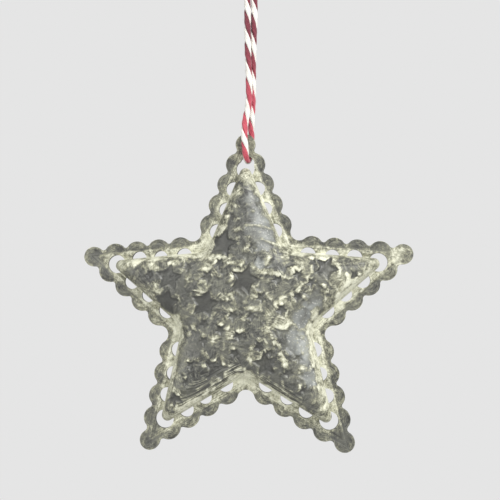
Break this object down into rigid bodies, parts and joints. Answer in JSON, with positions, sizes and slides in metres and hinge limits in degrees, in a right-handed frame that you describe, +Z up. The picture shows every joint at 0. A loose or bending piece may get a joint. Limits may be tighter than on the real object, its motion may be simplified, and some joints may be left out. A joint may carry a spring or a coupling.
{
  "type": "lace star ornament",
  "caption": "Hanging puffed star of aged sheet metal with a scalloped, pierced lace rim, two stamped halves back to back, on a loop of two-colour twine.",
  "frame": {"origin": "the inside top of the twine's eye, where a hook or nail holds it", "axes": "+Z up along the hanging twine; the star lies in the XZ plane with its front towards -Y and its top tip towards +Z; +X is to the viewer's right"},
  "size_m": [0.1006, 0.0162, 0.1681],
  "materials": {
    "aged_sheet": "dark grey patina, finely scratched, with a worn cream rub on the rim, the dome's foot and the raised parts",
    "solder": "dull grey solder",
    "twine": "matt cotton twine, red and white plies twisted together"
  },
  "bodies": {
    "loop": {"twine_knot": "twine", "twine_tail_left": "twine", "twine_tail_right": "twine", "twine_eye_left": "twine", "twine_eye_right": "twine"},
    "pair": {"twine_left": "twine", "twine_right": "twine"},
    "bight": {"twine_bight": "twine"},
    "star": {"front_shell": "aged_sheet", "back_shell": "aged_sheet", "solder_spot_1": "solder", "solder_spot_2": "solder", "solder_spot_3": "solder", "solder_spot_4": "solder", "solder_spot_5": "solder"}
  },
  "joints": [
    {"name": "swing", "type": "hinge", "parent": "loop", "child": "pair", "pos_m": [0.00173, 0, -0.01335], "axis": [1, 0, 0], "range_deg": [-60, 60], "deforming": ["twine_left", "twine_right"]},
    {"name": "turn", "type": "hinge", "parent": "pair", "child": "bight", "pos_m": [0, 0, -0.05325], "axis": [0, 0, 1], "range_deg": [-180, 180], "deforming": ["twine_left", "twine_right"]},
    {"name": "rock", "type": "hinge", "parent": "bight", "child": "star", "pos_m": [0.0003, 0, -0.0665], "axis": [0, 1, 0], "range_deg": [-90, 90]}
  ]
}
